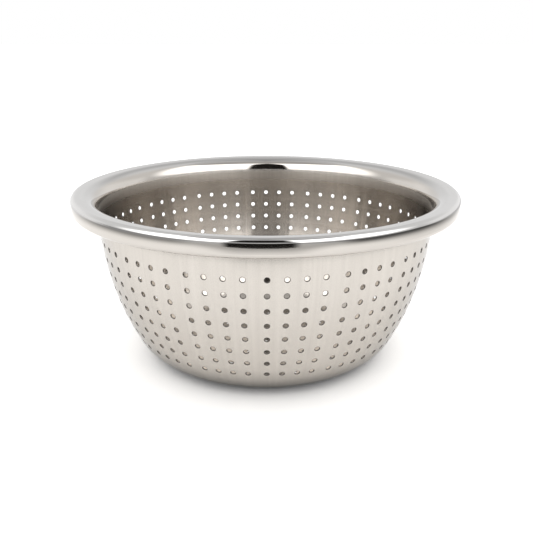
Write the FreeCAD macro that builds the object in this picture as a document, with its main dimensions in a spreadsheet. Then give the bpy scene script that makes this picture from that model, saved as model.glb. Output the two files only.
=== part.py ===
import FreeCAD, Part
import math
import os

import Sketcher

# A colander pressed from one round sheet of steel: a flat base, a curved wall punched in groups of
# columns, and a broad flange whose turned-down edge is rolled round a wire hoop.
# Millimetres and degrees, +Z up, origin on the floor under the middle of the base, front at -Y.

DRIVING = {
    # The pressed bowl. Diameters, and radii of bends, are those on the convex side of the sheet.
    "sheet_thickness": 0.6,
    "bowl_diameter": 208.4,
    "bowl_height": 107.0,
    "base_inset": 45.2,
    "knuckle_radius": 28.0,
    "straight_wall": 1.0,
    # The flange, and the rim from its top down to the bottom of the rolled edge.
    "flange_width": 15.8,
    "flange_slope": 5.0,
    "flange_root_radius": 10.0,
    "flange_edge_radius": 2.8,
    "rim_depth": 10.4,
    "edge_wrap": 285.0,
    # The hoop inside the rolled edge.
    "wire_diameter": 4.0,
    "wire_clearance": 0.05,
    # The punched holes. The plain band is the wall from the flange's bend down to the first row.
    "hole_diameter": 2.8,
    "plain_band": 16.0,
    "row_pitch": 9.2,
    "hole_groups": 15,
    "group_columns": 4,
    "column_step": 5.7,
    "front_column": -89.5,
    "ring_pitch": 10.0,
    "ring_sectors": 6,
    "cut_overrun": 1.0,
}

WORKED = {
    "wall_radius": "sizes.bowl_diameter / 2",
    "rim_radius": "wall_radius + sizes.flange_width",
    "flat_radius": "wall_radius - sizes.base_inset",
    # The middles of the rolled edge, of the flange's outer bend and of its inner bend on the wall.
    "bead_radius": "sizes.wire_diameter / 2 + sizes.wire_clearance + sizes.sheet_thickness",
    "bead_across": "rim_radius - bead_radius",
    "bead_height": "sizes.bowl_height - sizes.rim_depth + bead_radius",
    "edge_across": "rim_radius - sizes.flange_edge_radius",
    "edge_height": "sizes.bowl_height - sizes.flange_edge_radius",
    "root_across": "wall_radius - sizes.sheet_thickness + sizes.flange_root_radius",
    "root_height": "edge_height - (edge_across - root_across) * tan(sizes.flange_slope)"
                   " + (sizes.flange_edge_radius - sizes.flange_root_radius) / cos(sizes.flange_slope)",
    # The curved wall: one arc, tangent to the straight wall above it and to the knuckle below.
    "curve_height": "root_height - sizes.straight_wall",
    "curve_rise": "curve_height - sizes.knuckle_radius",
    "curve_radius": "(sizes.base_inset ^ 2 - sizes.knuckle_radius ^ 2 + curve_rise ^ 2)"
                    " / (2 * (sizes.base_inset - sizes.knuckle_radius))",
    "curve_across": "wall_radius - curve_radius",
    "curve_angle": "asin(curve_rise / (curve_radius - sizes.knuckle_radius)) / 1 deg",
    # The rows, as angles down the curved wall, and the columns, as angles round the bowl.
    "first_row_angle": "(sizes.plain_band - sizes.straight_wall) / curve_radius * 180 / pi",
    "row_angle": "sizes.row_pitch / curve_radius * 180 / pi",
    "hole_angle": "sizes.hole_diameter / curve_radius * 180 / pi",
    "group_angle": "360 / sizes.hole_groups",
    "side_angle": "(group_angle - (sizes.group_columns - 1) * sizes.column_step) / 2",
}

# Each bend of the sheet: its convex radius, and its middle's distance from the axis and height.
BENDS = {
    "knuckle": ("sizes.knuckle_radius", "worked.flat_radius", "sizes.knuckle_radius"),
    "curve": ("worked.curve_radius", "worked.curve_across", "worked.curve_height"),
    "root": ("sizes.flange_root_radius", "worked.root_across", "worked.root_height"),
    "edge": ("sizes.flange_edge_radius", "worked.edge_across", "worked.edge_height"),
    "bead": ("worked.bead_radius", "worked.bead_across", "worked.bead_height"),
}

# The points of a sketch element, and the sketch's own origin and upright axis, by their numbers.
START, END, CENTRE = 1, 2, 3
ORIGIN = (-1, START)
UPRIGHT_AXIS = -2

PUNCHED_TOLERANCE_SHARE = 0.01


def fill_sheet(sheet, cells):
    for row, (alias, content) in enumerate(cells.items(), start=1):
        sheet.set(f"A{row}", alias)
        sheet.set(f"B{row}", content)
        sheet.setAlias(f"B{row}", alias)
    doc.recompute()


def bind(thing, expressions):
    for name, expression in expressions.items():
        thing.setExpression(name, expression)


def origin_feature(body, role):
    return next(feature for feature in body.Origin.OriginFeatures if feature.Role == role)


def attach(thing, body, plane):
    thing.AttachmentSupport = [(origin_feature(body, plane), "")]
    thing.MapMode = "FlatFace"


def constrain(sketch, kind, *elements):
    return sketch.addConstraint(Sketcher.Constraint(kind, *elements))


def dimension(sketch, name, expression, kind, *elements):
    """Add a named dimension, bound to an expression on the sheets."""
    value = float(sketch.evalExpression(expression))
    start_value = math.radians(value) if kind == "Angle" else value
    sketch.renameConstraint(constrain(sketch, kind, *elements, start_value), name)
    sketch.setExpression(f"Constraints.{name}", expression)


def draw_line(sketch, start, end):
    return sketch.addGeometry(Part.LineSegment(start, end))


def draw_bend(sketch, bend, low, high):
    """Both faces of one bend, the convex one first: arcs about one middle, between two angles."""
    convex_radius, across, height = BENDS[bend]
    middle = FreeCAD.Vector(sketch.evalExpression(across), sketch.evalExpression(height), 0)
    faces = {"convex": convex_radius, "concave": f"{convex_radius} - sizes.sheet_thickness"}
    arcs = []
    for face, radius in faces.items():
        circle = Part.Circle(middle, FreeCAD.Vector(0, 0, 1), sketch.evalExpression(radius))
        arc = sketch.addGeometry(Part.ArcOfCircle(circle, math.radians(low), math.radians(high)))
        dimension(sketch, f"{bend}_{face}", radius, "Radius", arc)
        arcs.append(arc)
    dimension(sketch, f"{bend}_across", across, "DistanceX", *ORIGIN, arcs[0], CENTRE)
    dimension(sketch, f"{bend}_height", height, "DistanceY", *ORIGIN, arcs[0], CENTRE)
    constrain(sketch, "Coincident", arcs[0], CENTRE, arcs[1], CENTRE)
    return arcs


def draw_between(sketch, first, second):
    """A straight stretch of one face, tangent to the arcs that it joins."""
    line = draw_line(sketch, sketch.getPoint(*first), sketch.getPoint(*second))
    constrain(sketch, "Tangent", line, START, *first)
    constrain(sketch, "Tangent", line, END, *second)


def close_end(sketch, first, second):
    """The end of a strip of sheet, square across its thickness."""
    end = draw_line(sketch, sketch.getPoint(*first), sketch.getPoint(*second))
    constrain(sketch, "Coincident", end, START, *first)
    constrain(sketch, "Coincident", end, END, *second)
    return end


def close_bend(sketch, arcs, point):
    end = close_end(sketch, (arcs[0], point), (arcs[1], point))
    constrain(sketch, "PointOnObject", arcs[0], CENTRE, end)
    return end


def draw_wall(sketch):
    """The curved wall, from the knuckle up to where the wall stands straight."""
    arcs = draw_bend(sketch, "curve", -worked.curve_angle, 0)
    close_bend(sketch, arcs, START)
    constrain(sketch, "Horizontal", close_bend(sketch, arcs, END))
    dimension(sketch, "curve_turn", "worked.curve_angle", "Angle", arcs[0])


def draw_rim(sketch):
    """The straight wall, the flange, its turned-down skirt and the edge rolled round the wire."""
    flange_normal = 90 + sizes.flange_slope
    roots = draw_bend(sketch, "root", flange_normal, 180)
    edges = draw_bend(sketch, "edge", 0, flange_normal)
    beads = draw_bend(sketch, "bead", -sizes.edge_wrap, 0)
    walls = []
    for root, edge, bead in zip(roots, edges, beads):
        wall_top = sketch.getPoint(root, END)
        wall = draw_line(sketch, FreeCAD.Vector(wall_top.x, worked.curve_height, 0), wall_top)
        constrain(sketch, "Tangent", wall, END, root, END)
        constrain(sketch, "Vertical", wall)
        walls.append(wall)
        draw_between(sketch, (root, START), (edge, END))
        draw_between(sketch, (edge, START), (bead, END))
    constrain(sketch, "Horizontal", close_end(sketch, (walls[0], START), (walls[1], START)))
    close_bend(sketch, beads, START)
    dimension(sketch, "wall_start", "worked.curve_height", "DistanceY", *ORIGIN, walls[0], START)
    dimension(sketch, "edge_wrap", "sizes.edge_wrap", "Angle", beads[0])


def draw_base(sketch):
    """The flat base and the knuckle that turns it up into the wall."""
    arcs = draw_bend(sketch, "knuckle", -90, -worked.curve_angle)
    flats = []
    for arc in arcs:
        flat_end = sketch.getPoint(arc, START)
        flat = draw_line(sketch, FreeCAD.Vector(0, flat_end.y, 0), flat_end)
        constrain(sketch, "Tangent", flat, END, arc, START)
        constrain(sketch, "Horizontal", flat)
        constrain(sketch, "PointOnObject", flat, START, UPRIGHT_AXIS)
        flats.append(flat)
    close_end(sketch, (flats[0], START), (flats[1], START))
    close_bend(sketch, arcs, END)
    dimension(sketch, "knuckle_turn", "90 - worked.curve_angle", "Angle", arcs[0])


def revolve(name, draw, expressions):
    """A body turned about the bowl's axis from a section drawn on the XZ plane."""
    body = doc.addObject("PartDesign::Body", name)
    sketch = body.newObject("Sketcher::SketchObject", f"{name}_section")
    attach(sketch, body, "XZ_Plane")
    draw(sketch)
    feature = body.newObject("PartDesign::Revolution", f"{name}_turned")
    feature.Profile = sketch
    feature.ReferenceAxis = (origin_feature(body, "Z_Axis"), [""])
    bind(feature, expressions)
    doc.recompute()
    return body


def row_punch(row, column):
    """The punch for one hole of a group, square to the curved wall."""
    punch = doc.addObject("Part::Cylinder", f"punch_{row}_{column}")
    down = f"(worked.first_row_angle + {row} * worked.row_angle)"
    turn = f"(worked.side_angle + {column} * sizes.column_step)"
    reach = "(worked.curve_radius - sizes.sheet_thickness - sizes.cut_overrun)"
    across = f"(worked.curve_across + {reach} * cos({down}))"
    height = f"worked.curve_height - {reach} * sin({down})"
    bind(punch, {
        "Radius": "sizes.hole_diameter / 2",
        "Height": "sizes.sheet_thickness + 2 * sizes.cut_overrun",
        "Placement": f"placement(vector({across} * cos({turn}); {across} * sin({turn}); {height}); "
                     f"rotation({turn}; 90 + {down}; 0))",
    })
    return punch


def make_wall_groups():
    """The punched wall: one sector with its group of holes, and links to it all round the axis."""
    sector = revolve("wall_sector", draw_wall, {"Angle": "worked.group_angle"})
    punched_angle = worked.curve_angle - worked.first_row_angle - worked.hole_angle
    row_count = 1 + math.floor(punched_angle / worked.row_angle)
    columns = range(sizes.group_columns)
    punches = doc.addObject("Part::Compound", "punches")
    punches.Links = [row_punch(row, column) for row in range(row_count) for column in columns]
    group = doc.addObject("Part::Cut", "wall_group")
    group.Base = sector
    group.Tool = punches
    doc.recompute()
    check_punched("group", sector.Shape.Volume - group.Shape.Volume, len(punches.Links))
    groups = [group]
    for number in range(1, sizes.hole_groups):
        link = doc.addObject("App::Link", f"wall_group_{number}")
        link.LinkedObject = group
        turn = f"rotation(vector(0; 0; 1); {number} * worked.group_angle)"
        bind(link, {"Placement": f"placement(vector(0; 0; 0); {turn})"})
        groups.append(link)
    return groups


def punch_base(body, name, places):
    """Round holes through the flat base, at places given as expressions on the sheets."""
    sketch = body.newObject("Sketcher::SketchObject", f"{name}_sketch")
    attach(sketch, body, "XY_Plane")
    for number, (across, along) in enumerate(places):
        middle = FreeCAD.Vector(sketch.evalExpression(across), sketch.evalExpression(along), 0)
        circle = sketch.addGeometry(Part.Circle(middle, FreeCAD.Vector(0, 0, 1), sizes.hole_diameter / 2))
        dimension(sketch, f"size_{number}", "sizes.hole_diameter", "Diameter", circle)
        dimension(sketch, f"across_{number}", across, "DistanceX", *ORIGIN, circle, CENTRE)
        dimension(sketch, f"along_{number}", along, "DistanceY", *ORIGIN, circle, CENTRE)
    pocket = body.newObject("PartDesign::Pocket", name)
    pocket.Profile = sketch
    pocket.Reversed = True
    bind(pocket, {"Length": "sizes.sheet_thickness + sizes.cut_overrun"})
    doc.recompute()
    return pocket


def make_base():
    """The flat base and its knuckle, with a hole in the middle and rings of holes round it."""
    body = revolve("base", draw_base, {})
    plain_volume = body.Shape.Volume
    ring_count = math.floor((worked.flat_radius - sizes.hole_diameter) / sizes.ring_pitch)
    places = [
        (f"{ring} * sizes.ring_pitch * cos({place} * 360 / sizes.ring_sectors / {ring})",
         f"{ring} * sizes.ring_pitch * sin({place} * 360 / sizes.ring_sectors / {ring})")
        for ring in range(1, ring_count + 1)
        for place in range(ring)
    ]
    punch_base(body, "middle_hole", [("0", "0")])
    sector = punch_base(body, "ring_sector", places)
    rings = body.newObject("PartDesign::PolarPattern", "rings")
    rings.Originals = [sector]
    rings.Axis = (origin_feature(body, "Z_Axis"), [""])
    bind(rings, {"Occurrences": "sizes.ring_sectors"})
    body.Tip = rings
    doc.recompute()
    check_punched("base", plain_volume - body.Shape.Volume, 1 + len(places) * sizes.ring_sectors)
    return body


def check_punched(name, removed, hole_count):
    slug_volume = math.pi * sizes.hole_diameter ** 2 / 4 * sizes.sheet_thickness
    expected = hole_count * slug_volume
    if abs(removed - expected) > expected * PUNCHED_TOLERANCE_SHARE:
        raise RuntimeError(f"the holes of the {name} take out {removed:.1f} mm3 and not {expected:.1f} mm3")


def make_bowl():
    """The whole pressed sheet, turned so that a column of holes stands at the front."""
    shapes = [*make_wall_groups(), revolve("rim", draw_rim, {}), make_base()]
    bowl = doc.addObject("Part::MultiFuse", "bowl")
    bowl.Shapes = shapes
    bowl.Refine = False
    turn = "rotation(vector(0; 0; 1); sizes.front_column - worked.side_angle)"
    bind(bowl, {"Placement": f"placement(vector(0; 0; 0); {turn})"})
    doc.recompute()
    return bowl


def make_rim_wire():
    """The hoop that the sheet's edge is rolled round."""
    wire = doc.addObject("Part::Torus", "rim_wire")
    bind(wire, {
        "Radius1": "worked.bead_across",
        "Radius2": "sizes.wire_diameter / 2",
        "Placement.Base.z": "worked.bead_height",
    })
    doc.recompute()
    return wire


doc = FreeCAD.newDocument("colander")
sizes = doc.addObject("Spreadsheet::Sheet", "sizes")
fill_sheet(sizes, {alias: str(value) for alias, value in DRIVING.items()})
worked = doc.addObject("Spreadsheet::Sheet", "worked")
fill_sheet(worked, {alias: f"={formula}" for alias, formula in WORKED.items()})

pieces = [make_bowl(), make_rim_wire()]

for thing in doc.Objects:
    if "Invalid" in thing.State or "Error" in thing.State:
        raise RuntimeError(f"{thing.Name} did not compute: {thing.State}")
for piece in pieces:
    if piece.Shape.isNull() or not piece.Shape.isValid() or len(piece.Shape.Solids) != 1:
        raise RuntimeError(f"{piece.Label} is not one valid solid")

os.makedirs("parts", exist_ok=True)
for piece in pieces:
    piece.Shape.exportStep(f"parts/{piece.Label}.step")
    print(f"{piece.Label}: {piece.Shape.Volume:.1f} mm3")
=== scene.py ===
import math

import bmesh
import bpy
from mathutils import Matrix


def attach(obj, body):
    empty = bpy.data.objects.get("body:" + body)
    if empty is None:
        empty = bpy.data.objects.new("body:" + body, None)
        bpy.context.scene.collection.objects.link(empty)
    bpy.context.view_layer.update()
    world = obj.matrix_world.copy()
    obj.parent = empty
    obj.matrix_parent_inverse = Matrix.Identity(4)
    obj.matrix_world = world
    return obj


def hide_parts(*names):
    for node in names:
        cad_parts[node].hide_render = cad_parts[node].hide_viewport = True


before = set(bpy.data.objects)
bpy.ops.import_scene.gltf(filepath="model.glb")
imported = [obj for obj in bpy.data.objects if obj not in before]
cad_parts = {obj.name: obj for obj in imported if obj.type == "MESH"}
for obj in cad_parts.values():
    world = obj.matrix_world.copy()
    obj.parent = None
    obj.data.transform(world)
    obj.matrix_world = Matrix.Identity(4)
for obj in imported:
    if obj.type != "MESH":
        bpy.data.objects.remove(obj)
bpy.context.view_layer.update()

# THE BOWL
# One round blank of stainless steel sheet, pressed to a flat base and a curved wall, turned out at the top to
# a flange and rolled over at its edge. The drain holes are punched from outside, in groups of four columns.
# The wall and base are brushed round and round, and the rim is buffed bright.

MM = 0.001
sheet_thickness = 0.6 * MM
wall_radius = 104.2 * MM
bowl_height = 107 * MM
flat_radius = 59 * MM
knuckle_radius = 28 * MM
straight_wall = 1 * MM
rim_radius = 119.96 * MM
rim_depth = 10.4 * MM
flange_slope = math.radians(5)
root_radius = 10 * MM
edge_radius = 2.8 * MM
bead_radius = 2.65 * MM
edge_wrap = math.radians(285)

hole_diameter = 2.8 * MM
hole_rounding = 0.2 * MM
first_row = 15 * MM
row_pitch = 9.2 * MM
row_count = 8
hole_groups = 15
group_columns = 4
column_step = math.radians(5.7)
front_column = math.radians(-89.5)
ring_pitch = 10 * MM
ring_count = 5
first_ring_holes = 6
base_fill_radius = 55 * MM

# How many straight pieces stand for each bend of the sheet, and for the round of a hole.
top_wall_steps = 2
root_steps = 14
edge_steps = 10
bead_steps = 24
low_wall_steps = 1
knuckle_steps = 12
hole_sides = 16

# A bend sharper than this is an edge, and points closer than this are one point.
sharp_bend = math.radians(50)
weld_distance = 0.01 * MM

# Where the bends of the sheet have their middles: distance from the axis, and height.
bead_middle = (rim_radius - bead_radius, bowl_height - rim_depth + bead_radius)
edge_middle = (rim_radius - edge_radius, bowl_height - edge_radius)
root_across = wall_radius - sheet_thickness + root_radius
root_middle = (root_across, edge_middle[1] - (edge_middle[0] - root_across) * math.tan(flange_slope)
               + (edge_radius - root_radius) / math.cos(flange_slope))
knuckle_middle = (flat_radius, knuckle_radius)
curve_height = root_middle[1] - straight_wall
curve_rise = curve_height - knuckle_radius
base_inset = wall_radius - flat_radius
curve_radius = (base_inset ** 2 - knuckle_radius ** 2 + curve_rise ** 2) / (2 * (base_inset - knuckle_radius))
curve_middle = (wall_radius - curve_radius, curve_height)
curve_angle = math.asin(curve_rise / (curve_radius - knuckle_radius))
punched_top = (first_row - row_pitch / 2) / curve_radius
punched_bottom = (first_row + (row_count - 0.5) * row_pitch) / curve_radius


def bend(middle, radius, start, end, steps):
    """Points along one face of a bend in the section."""
    turns = [start + (end - start) * step / steps for step in range(steps + 1)]
    return [(middle[0] + radius * math.cos(turn), middle[1] + radius * math.sin(turn)) for turn in turns]


def rim_face(depth):
    """One face of the sheet from the top row of holes to its rolled edge."""
    tuck = sheet_thickness - depth
    flange_normal = math.pi / 2 + flange_slope
    return [*bend(curve_middle, curve_radius - depth, -punched_top, 0, top_wall_steps),
            *bend(root_middle, root_radius - tuck, math.pi, flange_normal, root_steps),
            *bend(edge_middle, edge_radius - tuck, flange_normal, 0, edge_steps),
            *bend(bead_middle, bead_radius - tuck, 0, -edge_wrap, bead_steps)]


def base_face(depth):
    """One face of the sheet from the bottom row of holes to the flat of the base."""
    return [*bend(curve_middle, curve_radius - depth, -punched_bottom, -curve_angle, low_wall_steps),
            *bend(knuckle_middle, knuckle_radius - depth, -curve_angle, -math.pi / 2, knuckle_steps)[1:],
            (base_fill_radius, depth)]


def set_down(name, data):
    """Put a new object into the scene, at the origin."""
    thing = bpy.data.objects.new(name, data)
    bpy.context.scene.collection.objects.link(thing)
    return thing


section = bpy.data.curves.new("bowl_section", "CURVE")
section.dimensions = "3D"
for strip in [rim_face(0) + rim_face(sheet_thickness)[::-1], base_face(0), base_face(sheet_thickness)]:
    spline = section.splines.new("POLY")
    spline.points.add(len(strip) - 1)
    for point, (across, height) in zip(spline.points, strip):
        point.co = (across, 0, height, 1)
bowl_blank = set_down("bowl_blank", section)


class Flow:
    """A value that flows through a node tree. Arithmetic on it adds Math nodes."""

    def __init__(self, tree, socket=None):
        self.tree = tree
        self.socket = socket

    def node(self, kind, settings=None, inputs=None, output=0):
        """Any node: its type, its settings, then its sockets' values or links."""
        node = self.tree.nodes.new(kind)
        for name, value in (settings or {}).items():
            if name == "choices":
                while len(node.index_switch_items) < value:
                    node.index_switch_items.new()
            else:
                setattr(node, name, value)
        for name, value in (inputs or {}).items():
            for one in value if isinstance(value, list) else [value]:
                if isinstance(one, Flow):
                    self.tree.links.new(one.socket, node.inputs[name])
                else:
                    node.inputs[name].default_value = one
        return Flow(self.tree, node.outputs[output] if node.outputs else None)

    def math(self, operation, *values):
        """A Math node: its operation, then its values."""
        return self.node("ShaderNodeMath", {"operation": operation}, dict(enumerate(values)))

    def __add__(self, other):
        return self.math("ADD", self, other)

    def __sub__(self, other):
        return self.math("SUBTRACT", self, other)

    def __rsub__(self, other):
        return self.math("SUBTRACT", other, self)

    def __mul__(self, other):
        return self.math("MULTIPLY", self, other)

    def __truediv__(self, other):
        return self.math("DIVIDE", self, other)

    def __rtruediv__(self, other):
        return self.math("DIVIDE", other, self)

    def __mod__(self, other):
        return self.math("FLOORED_MODULO", self, other)

    __radd__ = __add__
    __rmul__ = __mul__


press_tree = bpy.data.node_groups.new("press_and_punch", "GeometryNodeTree")
press_tree.is_modifier = True
press_tree.interface.new_socket("Section", in_out="INPUT", socket_type="NodeSocketGeometry")
press_tree.interface.new_socket("Bowl", in_out="OUTPUT", socket_type="NodeSocketGeometry")
press_sizes = {
    "Sheet Thickness": sheet_thickness,
    "Curve Radius": curve_radius,
    "Curve Across": curve_middle[0],
    "Curve Height": curve_middle[1],
    "Hole Radius": hole_diameter / 2,
    "Hole Rounding": hole_rounding,
    "First Row": first_row,
    "Row Pitch": row_pitch,
    "Rows": row_count,
    "Groups": hole_groups,
    "Group Columns": group_columns,
    "Column Step": column_step,
    "Front Column": front_column,
    "Ring Pitch": ring_pitch,
    "Base Fill Radius": base_fill_radius,
}
press_sockets = {}
for name, value in press_sizes.items():
    kind = "NodeSocketInt" if isinstance(value, int) else "NodeSocketFloat"
    press_sockets[name] = press_tree.interface.new_socket(name, in_out="INPUT", socket_type=kind)

press = Flow(press_tree)
given = press_tree.nodes.new("NodeGroupInput")
size = {name: Flow(press_tree, given.outputs[name]) for name in press_sizes}


def along_axis(spot, axis):
    """How far a spot lies along the X, Y or Z axis."""
    return spot.node("ShaderNodeSeparateXYZ", None, {0: spot}, output=axis)


def named(name, kind="FLOAT"):
    """A value that was written on the geometry."""
    return press.node("GeometryNodeInputNamedAttribute", {"data_type": kind}, {"Name": name})


def note(geometry, name, value, domain="POINT", kind="FLOAT"):
    """Write a value on the geometry, to read it back further on."""
    return press.node("GeometryNodeStoreNamedAttribute", {"domain": domain, "data_type": kind},
                      {"Geometry": geometry, "Name": name, "Value": value})


def place_round(geometry, radius, turn, height):
    """Move points to a distance from the axis, an angle round it and a height."""
    position = press.node("ShaderNodeCombineXYZ", None, {
        "X": radius * press.math("COSINE", turn), "Y": radius * press.math("SINE", turn), "Z": height})
    return press.node("GeometryNodeSetPosition", None, {"Geometry": geometry, "Position": position})


def turn_at(column):
    """The angle round the bowl at a place counted in columns, whose cells meet midway between them."""
    half_group = math.pi / size["Groups"]
    half_columns = size["Group Columns"] / 2
    inner_columns = half_columns - 1
    place_in_group = column % size["Group Columns"] - half_columns
    side = press.math("SIGN", place_in_group)
    away = press.math("ABSOLUTE", place_in_group)
    inner = press.math("MINIMUM", away, inner_columns) * size["Column Step"]
    outer_step = half_group - inner_columns * size["Column Step"]
    outer = press.math("MAXIMUM", away - inner_columns, 0.0) * outer_step
    group = press.math("FLOOR", column / size["Group Columns"])
    return (group * 2 + 1) * half_group + side * (inner + outer)


index = press.node("GeometryNodeInputIndex")
columns = size["Groups"] * size["Group Columns"]
cell_steps = hole_sides // 4

# The plain strips above and below the holes: the section, turned about the axis.
path = press.node("GeometryNodeCurvePrimitiveCircle", None, {"Resolution": columns * cell_steps})
path = note(path, "turn", turn_at(index / cell_steps))
drawn_section = Flow(press_tree, given.outputs["Section"])
profile = note(drawn_section, "section", press.node("GeometryNodeInputPosition"), kind="FLOAT_VECTOR")
strips = press.node("GeometryNodeCurveToMesh", None, {"Curve": path, "Profile Curve": profile})
section_spot = named("section", "FLOAT_VECTOR")
strips = place_round(strips, along_axis(section_spot, "X"), named("turn"), along_axis(section_spot, "Z"))


def hole_grid(rings):
    """A strip to wrap round one hole, which knows its step round the hole and its ring."""
    grid = press.node("GeometryNodeMeshGrid", None, {
        "Size X": hole_sides, "Size Y": rings - 1, "Vertices X": hole_sides + 1, "Vertices Y": rings})
    grid_spot = press.node("GeometryNodeInputPosition")
    step = along_axis(grid_spot, "X") + hole_sides / 2
    ring = along_axis(grid_spot, "Y") + (rings - 1) / 2
    return note(note(grid, "step", step), "ring", ring)


def by_ring(values):
    """One value for each ring, from the outer face of the sheet to the inner one."""
    return press.node("GeometryNodeIndexSwitch", {"data_type": "FLOAT", "choices": len(values)},
                      {"Index": named("ring"), **{str(ring): value for ring, value in enumerate(values)}})


def realized(geometry):
    """Copies, made into real mesh."""
    return press.node("GeometryNodeRealizeInstances", None, {"Geometry": geometry})


def at_points(points, copied):
    """A copy of something at each point."""
    return press.node("GeometryNodeInstanceOnPoints", None, {"Points": points, "Instance": copied})


def copies(points, grid):
    """The grid, copied to each point and numbered."""
    return realized(note(at_points(points, grid), "number", index, domain="INSTANCE"))


# The punched wall: one tile for each hole, its rim rounded on the outer face, in a cell of the wall.
# The rim is darkened, from a little way out on the outer face to a trace on the inner one.
round_share = 1 - math.sqrt(0.5)
dark_reach_share = 2.2
# How far each ring of a hole's rim is darkened, from the outer face in.
hole_rim_darkness = [0.95, 1.0, 1.0, 0.3]
hole_radius = size["Hole Radius"]
rounding = size["Hole Rounding"]
edge_rings = [hole_radius + rounding, hole_radius + rounding * round_share, hole_radius, hole_radius]
edge_depths = [0.0, rounding * round_share, rounding, size["Sheet Thickness"]]
wall_rings = [0.0, hole_radius + rounding * dark_reach_share, *edge_rings, 0.0]
wall_depths = [0.0, 0.0, *edge_depths, size["Sheet Thickness"]]
wall_holes = press.node("GeometryNodePoints", None, {"Count": columns * size["Rows"]})
wall = copies(wall_holes, hole_grid(len(wall_rings)))
hole_column = named("number") % columns
hole_row = press.math("FLOOR", named("number") / columns)
quarter = named("step") / cell_steps


def square_wave(peak):
    """From -1 to 1 and back round a cell's four sides, with its flat top at that quarter."""
    slope = 2 - press.math("ABSOLUTE", quarter * 2 - peak * 2)
    return press.math("MAXIMUM", press.math("MINIMUM", slope, 1.0), -1.0)


# A cell ends a hair short of its neighbours, so that it is counted in its own group.
half_cell_share = 0.499999
far_side_quarter = 1.5
low_side_quarter = 2.5
cell_side = square_wave(far_side_quarter)
cell_drop = square_wave(low_side_quarter)
hole_turn = (quarter - 0.5) * (math.pi / 2) - math.pi / 2
on_hole = by_ring([0.0] + [1.0] * (len(wall_rings) - 2) + [0.0])
ring_radius = by_ring(wall_rings)
along_wall = (size["First Row"] + hole_row * size["Row Pitch"]
              + (1 - on_hole) * cell_drop * size["Row Pitch"] * 0.5
              + ring_radius * press.math("SINE", hole_turn))
wall_reach = size["Curve Radius"] - by_ring(wall_depths)
along_angle = along_wall / size["Curve Radius"]
wall_across = size["Curve Across"] + wall_reach * press.math("COSINE", along_angle)
wall_height = size["Curve Height"] - wall_reach * press.math("SINE", along_angle)
group_middle = (press.math("FLOOR", hole_column / size["Group Columns"]) * 2 + 1) * (math.pi / size["Groups"])
column_place = hole_column % size["Group Columns"] - (size["Group Columns"] - 1) * 0.5
column_turn = group_middle + column_place * size["Column Step"]
cell_turn = turn_at(hole_column + 0.5 + cell_side * half_cell_share)
wall_turn = (on_hole * (column_turn + ring_radius * press.math("COSINE", hole_turn) / wall_across)
             + (1 - on_hole) * cell_turn)
wall = note(wall, "punched", by_ring([0.0, 0.0, *hole_rim_darkness, 0.0]))
wall = place_round(wall, wall_across, wall_turn, wall_height)

# The flat base: a disc with a hole in its middle and rings of holes round it.
one_point = press.node("GeometryNodePoints", None, {"Count": 1})
base_points = [one_point]
for ring in range(1, ring_count + 1):
    base_points.append(press.node("GeometryNodeMeshCircle", None, {
        "Vertices": first_ring_holes * ring, "Radius": size["Ring Pitch"] * ring}))
base_points = press.node("GeometryNodeJoinGeometry", None, {"Geometry": base_points[::-1]})
base_holes = realized(at_points(base_points, one_point))
base_circle = place_round(path, size["Base Fill Radius"], named("turn"), 0.0)


def base_plate(radius, height):
    """One face of the base, with openings of that radius."""
    ring = press.node("GeometryNodeCurvePrimitiveCircle", None, {"Resolution": hole_sides, "Radius": radius})
    rings = realized(at_points(base_holes, ring))
    outline = press.node("GeometryNodeJoinGeometry", None, {"Geometry": [base_circle, rings]})
    plate = press.node("GeometryNodeFillCurve", None, {"Curve": outline})
    lift = press.node("ShaderNodeCombineXYZ", None, {"Z": height})
    return press.node("GeometryNodeTransform", None, {"Geometry": plate, "Translation": lift})


base_turn = named("step") * (2 * math.pi / hole_sides)
base_edge = note(hole_grid(len(edge_rings)), "punched", by_ring(hole_rim_darkness))
base_edge = place_round(base_edge, by_ring(edge_rings), base_turn, by_ring(edge_depths))
base_edges = copies(base_holes, base_edge)

whole = press.node("GeometryNodeJoinGeometry", None, {"Geometry": [
    strips, wall, base_plate(hole_radius + rounding, 0.0), base_plate(hole_radius, size["Sheet Thickness"]),
    base_edges]})
whole = press.node("GeometryNodeMergeByDistance", None, {
    "Geometry": realized(whole), "Distance": weld_distance})
side_angle = (math.pi * 2 / size["Groups"] - (size["Group Columns"] - 1) * size["Column Step"]) * 0.5
turned = press.node("ShaderNodeCombineXYZ", None, {"Z": size["Front Column"] - side_angle})
whole = press.node("GeometryNodeTransform", None, {"Geometry": whole, "Rotation": turned})


def new_finish(name):
    """A new material, and the flow to write its finish with."""
    material = bpy.data.materials.new(name)
    material.use_nodes = True
    material.node_tree.nodes.clear()
    return material, Flow(material.node_tree)


bowl_steel, steel = new_finish("bowl_steel")
whole = press.node("GeometryNodeSetMaterial", None, {"Geometry": whole, "Material": bowl_steel})
made = press_tree.nodes.new("NodeGroupOutput")
press_tree.links.new(whole.socket, made.inputs["Bowl"])

pressing = bowl_blank.modifiers.new("press_and_punch", "NODES")
pressing.node_group = press_tree
for name, value in press_sizes.items():
    pressing[press_sockets[name].identifier] = value
depsgraph = bpy.context.evaluated_depsgraph_get()
bowl_mesh = bpy.data.meshes.new_from_object(bowl_blank.evaluated_get(depsgraph), depsgraph=depsgraph)
bpy.data.objects.remove(bowl_blank)
bowl_mesh.name = "bowl_sheet"
for attribute in ["turn", "section", "step", "ring", "number"]:
    if attribute in bowl_mesh.attributes:
        bowl_mesh.attributes.remove(bowl_mesh.attributes[attribute])

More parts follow.
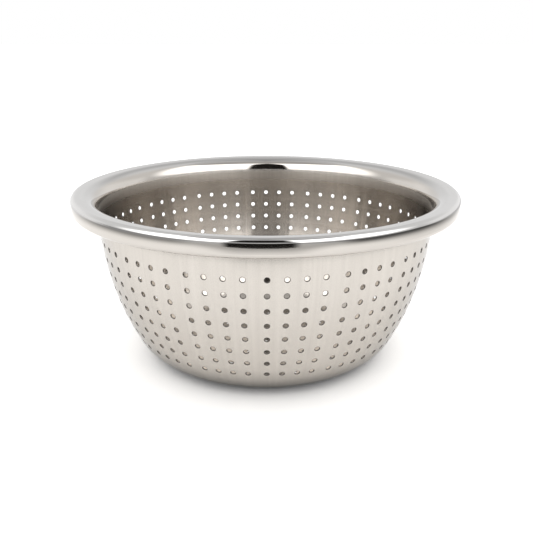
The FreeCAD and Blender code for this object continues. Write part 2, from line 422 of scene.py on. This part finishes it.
form = bmesh.new()
form.from_mesh(bowl_mesh)
bmesh.ops.remove_doubles(form, verts=form.verts, dist=weld_distance)
bmesh.ops.recalc_face_normals(form, faces=form.faces)
form.to_mesh(bowl_mesh)
form.free()
bowl_mesh.shade_smooth()
bowl_mesh.set_sharp_from_angle(angle=sharp_bend)
bowl = set_down("bowl_sheet", bowl_mesh)


def reach(across, up):
    """The length of a line that goes so far across and so far up."""
    return across.math("SQRT", across * across + up * up)


def rise(value, low, high):
    """0 below low, 1 above high, and smooth between them."""
    return value.node("ShaderNodeMapRange", {"interpolation_type": "SMOOTHSTEP"},
                      {"Value": value, "From Min": low, "From Max": high})


def sway(noise, swing):
    """Noise, brought to either side of 0."""
    return (noise - 0.5) * swing


def blend(share, first, second):
    """A colour between two others. A Mix node's colours are its sockets 6 and 7, and its output 2."""
    return share.node("ShaderNodeMix", {"data_type": "RGBA"}, {0: share, 6: first, 7: second}, output=2)


def mottle(spot, scale, detail):
    """Noise that is alike in all directions."""
    return spot.node("ShaderNodeTexNoise", None, {"Vector": spot, "Scale": scale, "Detail": detail})


spot = steel.node("ShaderNodeTexCoord", output="Object")
spot_x, spot_y, spot_z = (along_axis(spot, axis) for axis in "XYZ")
spot_radius = reach(spot_x, spot_y)


def grain(run, around, along, detail):
    """Noise drawn out in lines: how often it changes round the axis, and along a run of the section."""
    lines = run.node("ShaderNodeCombineXYZ", None, {
        "X": spot_x / spot_radius * around, "Y": spot_y / spot_radius * around, "Z": run * along})
    return mottle(lines, 1.0, detail)


# The marks on the steel: the brush's lines and broader bands round the bowl, the streaks up it from the
# drawing of the sheet, its fine grain, the dull patches of handling and the slow waves of a pressed sheet.
section_run = spot_z - spot_radius
brush_lines = grain(section_run, around=3.0, along=2600.0, detail=3.0)
brush_bands = grain(section_run, around=1.5, along=260.0, detail=2.0)
draw_streaks = grain(spot_z, around=50.0, along=9.0, detail=3.0)
fine_grain = mottle(spot, scale=2400.0, detail=1.0)
handling = mottle(spot, scale=28.0, detail=3.0)
sheet_waves = mottle(spot, scale=45.0, detail=1.0)
punched = steel.node("ShaderNodeAttribute", {"attribute_name": "punched"}, output="Fac")

# The rim is buffed, from just under the flange's root outwards.
buffed_beyond = (105 * MM, 106.5 * MM)
buffed_above = (97 * MM, 99.5 * MM)
buffed = steel.math("MAXIMUM", rise(spot_radius, *buffed_beyond), rise(spot_z, *buffed_above))

# Outside and inside are told apart by how far a spot lies from the middle of the bend that it is on.
inner_part = 0.4 * MM
outer_part = 0.2 * MM
wall_spot = reach(spot_radius - curve_middle[0], spot_z - curve_middle[1])
wall_outside = rise(wall_spot, curve_radius - inner_part, curve_radius - outer_part)
past_flat = steel.math("MAXIMUM", spot_radius - knuckle_middle[0], 0.0)
base_spot = reach(past_flat, spot_z - knuckle_middle[1])
base_outside = rise(base_spot, knuckle_radius - inner_part, knuckle_radius - outer_part)
knuckle_top = knuckle_middle[1] - knuckle_radius * math.sin(curve_angle)
on_wall = rise(spot_z, knuckle_top - outer_part, knuckle_top + outer_part)
outside = base_outside + (wall_outside - base_outside) * on_wall

# How rough the steel is. The satin is coarsest under the root, where the brush turned back.
brush_turned = (88 * MM, 97 * MM)
satin_middle = 0.18
brush_satin, band_satin, handling_satin = 0.05, 0.04, 0.06
hole_satin = 0.2
turned_satin = 0.27
satin = (satin_middle + sway(brush_lines, brush_satin) + sway(brush_bands, band_satin)
         + sway(handling, handling_satin) + punched * hole_satin + rise(spot_z, *brush_turned) * turned_satin)
bright_middle = 0.06
band_bright, handling_bright = 0.03, 0.04
bright = bright_middle + sway(brush_bands, band_bright) + sway(handling, handling_bright)

# The steel's colour. The inside is painted darker than the outside as painted shade in the bowl, the base is
# painted with shade where it stands and more faintly up the knuckle, and the rims of the holes are darkened.
middle_tone = 0.5
brush_tone, band_tone, grain_tone, streak_tone = 0.3, 0.2, 0.9, 1.2
tone = (middle_tone + sway(brush_lines, brush_tone) + sway(brush_bands, band_tone)
        + sway(fine_grain, grain_tone) + sway(draw_streaks, streak_tone))
# The inside is painted darker than the outside: painted shade inside the bowl.
outside_dark, outside_light = (0.53, 0.495, 0.453, 1), (0.63, 0.592, 0.545, 1)
inside_shaded_dark, inside_shaded_light = (0.47, 0.435, 0.395, 1), (0.56, 0.52, 0.475, 1)
wall_steel = blend(outside, blend(tone, inside_shaded_dark, inside_shaded_light), blend(tone, outside_dark, outside_light))
# Painted shade at the foot: the outside of the steel is darkened where the base stands and more faintly up
# the knuckle, a painted reflection of the floor's contact shadow.
contact_shade_height, knuckle_shade_height = (2 * MM, 6 * MM), (4 * MM, 24 * MM)
contact_shade_share, knuckle_shade_share = 0.6, 0.52
painted_contact_shade = (1 - rise(spot_z, *contact_shade_height)) * contact_shade_share + (1 - rise(spot_z, *knuckle_shade_height)) * knuckle_shade_share
# The rims of the holes are darkened this far towards the near-black below, which the painted shade at the
# foot shares.
hole_rim_dark_share = 0.9
rim_and_shade_colour = (0.05, 0.045, 0.04, 1)
darkened = steel.math("MAXIMUM", punched * hole_rim_dark_share, painted_contact_shade * outside)
brushed_colour = blend(darkened, wall_steel, rim_and_shade_colour)
buffed_band_tone, buffed_handling_tone = 0.8, 0.6
bright_tone = middle_tone + sway(brush_bands, buffed_band_tone) + sway(handling, buffed_handling_tone)
# The buffed rim's flange, which faces up, is painted lighter and more neutral than its skirt: a painted
# reflection of the pale grey tent above it.
skirt_shade, skirt_light = (0.51, 0.48, 0.445, 1), (0.61, 0.575, 0.535, 1)
flange_sheen_dark, flange_sheen_bright = (0.54, 0.53, 0.52, 1), (0.64, 0.63, 0.62, 1)
flange_sheen_height = (103 * MM, 105.5 * MM)
buffed_colour = blend(rise(spot_z, *flange_sheen_height), blend(bright_tone, skirt_shade, skirt_light),
                      blend(bright_tone, flange_sheen_dark, flange_sheen_bright))

# The steel's relief, in hundredths of a millimetre. The wall is a little drawn in along each column of holes.
relief_unit = 0.01 * MM
wave_depth = 6
column_depth = 1.5
brush_depth = 0.05
streak_depth_inside = 6
streak_depth_outside = 1.5
columns_above = (15 * MM, 25 * MM)
column_phase = (steel.math("ARCTAN2", spot_y, spot_x) - front_column) * (hole_groups * group_columns)
column_wave = steel.math("COSINE", column_phase) * rise(spot_z, *columns_above)
streak_depth = streak_depth_inside + (streak_depth_outside - streak_depth_inside) * outside
brushed_relief = brush_lines * brush_depth + draw_streaks * streak_depth - column_wave * column_depth
relief = steel.node("ShaderNodeBump", None, {
    "Strength": 1.0, "Distance": relief_unit,
    "Height": sheet_waves * wave_depth + brushed_relief * (1 - buffed)})

# The brush's lines run round the bowl, so the shine is drawn out a quarter turn from them, up the wall.
grazing_tint = (0.75, 0.75, 0.75, 1)
shine_stretch = 0.6
quarter_turn = 0.25
brushed_wall = steel.node("ShaderNodeBsdfPrincipled", None, {
    "Base Color": brushed_colour,
    "Metallic": 1.0,
    "Roughness": satin,
    "Specular Tint": grazing_tint,
    "Anisotropic": shine_stretch,
    "Anisotropic Rotation": quarter_turn,
    "Normal": relief,
})
bright_rim = steel.node("ShaderNodeBsdfPrincipled", None, {
    "Base Color": buffed_colour,
    "Metallic": 1.0,
    "Roughness": bright,
    "Normal": relief,
})
shine = steel.node("ShaderNodeMixShader", None, {0: buffed, 1: brushed_wall, 2: bright_rim})
steel.node("ShaderNodeOutputMaterial", None, {"Surface": shine})

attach(bowl, "root")
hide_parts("bowl")

# THE RIM WIRE
# A hoop of drawn steel wire, butted into a ring, that the edge of the sheet is rolled round to stiffen it.
# The roll hides it: a strip of it lies bare only inside the rim, where the roll ends short of the skirt.

wire_steel, drawn = new_finish("wire_steel")
wire_spot = drawn.node("ShaderNodeTexCoord", output="Object")
wire_x, wire_y, wire_z = (along_axis(wire_spot, axis) for axis in "XYZ")
wire_reach = reach(wire_x, wire_y)

# The die leaves lines along the wire: noise that changes fast over its section and slowly round the hoop.
die_rate = 2500.0
hoop_rate = 4.0
die_place = drawn.node("ShaderNodeCombineXYZ", None, {
    "X": wire_x / wire_reach * hoop_rate, "Y": wire_y / wire_reach * hoop_rate,
    "Z": (wire_reach - bead_middle[0]) * die_rate})
die_lines = drawn.node("ShaderNodeTexNoise", {"noise_dimensions": "4D"}, {
    "Vector": die_place, "W": (wire_z - bead_middle[1]) * die_rate, "Scale": 1.0, "Detail": 2.0})
tarnish = mottle(wire_spot, scale=60.0, detail=3.0)
die_tone, tarnish_tone = 0.6, 0.4
wire_tone = die_lines * die_tone + tarnish * tarnish_tone
wire_shade, wire_light = (0.34, 0.33, 0.31, 1), (0.6, 0.585, 0.56, 1)
smooth_wire, die_roughness, tarnish_roughness = 0.2, 0.2, 0.1
wire_shine = drawn.node("ShaderNodeBsdfPrincipled", None, {
    "Base Color": blend(wire_tone, wire_shade, wire_light),
    "Metallic": 1.0,
    "Roughness": smooth_wire + die_lines * die_roughness + tarnish * tarnish_roughness,
})
drawn.node("ShaderNodeOutputMaterial", None, {"Surface": wire_shine})
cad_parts["rim_wire"].material_slots[0].material = wire_steel

# THE STUDIO
# A sweep of white paper in a light tent that is brightest behind the camera, a card of black cloth that gives
# the steel its dark reflections, and the camera where the photograph was taken from.

floor_reach = 12.0
floor_mesh = bpy.data.meshes.new("floor")
floor_mesh.from_pydata([(-floor_reach, -floor_reach, 0), (floor_reach, -floor_reach, 0),
                        (floor_reach, floor_reach, 0), (-floor_reach, floor_reach, 0)], [], [(0, 1, 2, 3)])
floor = set_down("floor", floor_mesh)
paper, sweep = new_finish("white_paper")
paper_spot = sweep.node("ShaderNodeTexCoord", output="Object")
paper_x, paper_y = (along_axis(paper_spot, axis) for axis in "XY")
paper_away = reach(paper_x, paper_y)
paper_side = sweep.math("ABSOLUTE", paper_x / paper_away)

# Past the edge of the table the steel sees less white. The edge is further off at the sides, and shows less
# behind the bowl and more to its right.
table_edge = (0.3, 0.46)
side_setback, setback_sides = 0.1, (0.2, 0.6)
back_fade, back_range = 0.58, (0.0, 0.4)
front_edge_share, edge_sides = 0.75, (0.55, 0.75)
right_edge_share, right_range = 0.3, (0.3, 0.45)
past_edge = rise(paper_away - side_setback * rise(paper_side, *setback_sides), *table_edge)
behind = 1 - back_fade * rise(paper_y, *back_range)
beside = front_edge_share + (1 - front_edge_share) * rise(paper_side, *edge_sides)
past_table = past_edge * behind * beside + rise(paper_x, *right_range) * right_edge_share

# The paper is lifted to white where the camera sees it, also through glass, and in the steel's reflections.
paper_white = 0.9
seen_lift = 0.6
reflected_lift = 0.52
camera_ray, glossy_ray, glass_ray = (
    sweep.node("ShaderNodeLightPath", output=f"Is {ray} Ray") for ray in ["Camera", "Glossy", "Transmission"])
paper_level = paper_white + (camera_ray + glass_ray) * seen_lift + glossy_ray * (reflected_lift - past_table)
paper_colour = sweep.node("ShaderNodeCombineColor", None, {
    "Red": paper_level, "Green": paper_level, "Blue": paper_level})
matt = sweep.node("ShaderNodeBsdfDiffuse", None, {"Color": paper_colour})
sweep.node("ShaderNodeOutputMaterial", None, {"Surface": matt})
floor_mesh.materials.append(paper)

world = bpy.data.worlds.new("light_tent")
bpy.context.scene.world = world
world.use_nodes = True
world.node_tree.nodes.clear()
tent = Flow(world.node_tree)
towards = tent.node("ShaderNodeTexCoord", output="Generated")
towards_x, towards_y, towards_z = (along_axis(towards, axis) for axis in "XYZ")
towards_level = reach(towards_x, towards_y)
ahead = (0 - towards_y) / towards_level
side = tent.math("ABSOLUTE", towards_x / towards_level)

# The tent's parts: the half behind the camera, the open top, the soft boxes, which are wider higher up, and
# the dim room under them, which reaches a little higher on the left.
front_range = (-0.4, -0.05)
top_range = (0.87, 0.92)
box_widening, box_sides, box_bottom = 0.6, (0.0, 0.6), (0.15, 0.45)
room_tilt, room_top = 0.08, (0.0, 0.12)
tent_front = rise(ahead, *front_range)
tent_top = rise(towards_z, *top_range)
box_width = rise(ahead + towards_z * box_widening, *box_sides)
soft_boxes = box_width * rise(towards_z, *box_bottom) * (1 - tent_top)
dim_room = tent_front * (1 - rise(towards_z + towards_x * room_tilt, *room_top))

# How bright the steel sees each part, where 1 is white.
cloth_level = 0.8
back_lift, back_fall, back_heights = 0.1, 0.22, (0.3, 0.55)
back_side_lift, back_sides = 0.26, (0.1, 0.6)
top_fall = 0.2
box_lift = 2.2
room_fall, room_side_fall, room_sides = 0.1, 0.35, (0.55, 0.75)
tent_back = back_lift - back_fall * rise(towards_z, *back_heights) + back_side_lift * rise(side, *back_sides)
tent_shown = (cloth_level + tent_back * (1 - tent_front) - tent_top * top_fall + soft_boxes * box_lift
              - dim_room * (room_fall + room_side_fall * rise(side, *room_sides)))

# The camera sees white, and everything is lit by white, less the dim room.
room_shade = 0.4
tent_seen, tent_reflected = (
    tent.node("ShaderNodeLightPath", output=f"Is {ray} Ray") for ray in ["Camera", "Glossy"])
shade = dim_room * room_shade
tent_level = 1 - shade * (1 - tent_seen) + (tent_shown - 1 + shade) * tent_reflected
white = (1, 1, 1, 1)
tent_light = tent.node("ShaderNodeBackground", None, {"Color": white, "Strength": tent_level})
tent.node("ShaderNodeOutputWorld", None, {"Surface": tent_light})

# The card is black, fades to grey and narrows towards its top, is worn thin in a band, and has soft edges.
card_left, card_right, card_front, card_top = -0.2, 0.16, -0.47, 1.7
card_mesh = bpy.data.meshes.new("dark_card")
card_mesh.from_pydata([(card_left, card_front, 0), (card_right, card_front, 0),
                       (card_right, card_front, card_top), (card_left, card_front, card_top)],
                      [], [(0, 1, 2, 3)])
card = set_down("dark_card", card_mesh)
dark_cloth, cloth = new_finish("dark_cloth")
cloth_spot = cloth.node("ShaderNodeTexCoord", output="Object")
cloth_x, cloth_z = (along_axis(cloth_spot, axis) for axis in "XZ")
grey_heights = (0.9, 1.5)
narrowing, narrow_heights = 0.3, (0.9, 1.7)
cloth_edge = (0.12, 0.17)
worn_share, worn_bottom, worn_top = 0.5, (0.11, 0.16), (0.21, 0.29)
cloth_black, cloth_grey = (0.02, 0.018, 0.017, 1), (0.3, 0.29, 0.28, 1)
cloth_colour = blend(rise(cloth_z, *grey_heights), cloth_black, cloth_grey)
cloth_face = cloth.node("ShaderNodeBsdfDiffuse", None, {"Color": cloth_colour})
past_cloth = cloth.node("ShaderNodeBsdfTransparent")
card_middle = (card_left + card_right) / 2
from_middle = cloth.math("ABSOLUTE", cloth_x - card_middle) + narrowing * rise(cloth_z, *narrow_heights)
worn_band = rise(cloth_z, *worn_bottom) * (1 - rise(cloth_z, *worn_top)) * worn_share
see_through = cloth.math("MAXIMUM", rise(from_middle, *cloth_edge), worn_band)
card_shine = cloth.node("ShaderNodeMixShader", None, {0: see_through, 1: cloth_face, 2: past_cloth})
cloth.node("ShaderNodeOutputMaterial", None, {"Surface": card_shine})
card_mesh.materials.append(dark_cloth)
card.visible_camera = False
card.visible_diffuse = False
card.visible_shadow = False

camera_place = (0.0006, -0.4372, 0.1991)
camera_tilt = math.radians(18.407)
lens = bpy.data.cameras.new("camera")
lens.sensor_width = 36
lens.lens = 47.41
lens.clip_start = 0.01
camera = set_down("camera", lens)
camera.location = camera_place
camera.rotation_euler = (math.pi / 2 - camera_tilt, 0, 0)
bpy.context.scene.camera = camera

bpy.context.scene.view_settings.view_transform = "Standard"
